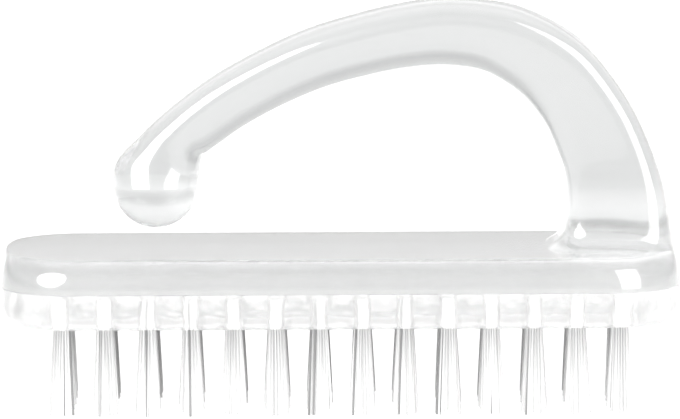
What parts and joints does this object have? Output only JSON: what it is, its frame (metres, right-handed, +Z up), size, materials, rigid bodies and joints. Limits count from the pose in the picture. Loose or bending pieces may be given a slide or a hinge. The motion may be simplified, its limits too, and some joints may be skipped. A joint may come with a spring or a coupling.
{
  "type": "nail brush",
  "caption": "Clear moulded nail brush: a rounded block with an arched, ball-ended finger handle rising from one end, on a clear plate with rows of stapled bristle tufts.",
  "frame": {"origin": "on the plane of the bristle tips, under the middle of the block", "axes": "+X along the block towards the foot of the handle, +Y towards the back, +Z up, away from the bristles"},
  "size_m": [0.095, 0.032, 0.0573],
  "materials": {
    "clear_plastic": "clear, polished",
    "bristle_nylon": "translucent filament",
    "anchor_wire": "flat drawn wire"
  },
  "bodies": {
    "root": {"body": "clear_plastic", "tuft_plate": "clear_plastic", "tufts_row_1": "bristle_nylon", "tufts_row_2": "bristle_nylon", "tufts_row_3": "bristle_nylon", "tufts_row_4": "bristle_nylon", "tufts_row_5": "bristle_nylon", "anchors_row_1": "anchor_wire", "anchors_row_2": "anchor_wire", "anchors_row_3": "anchor_wire", "anchors_row_4": "anchor_wire", "anchors_row_5": "anchor_wire"}
  },
  "joints": []
}
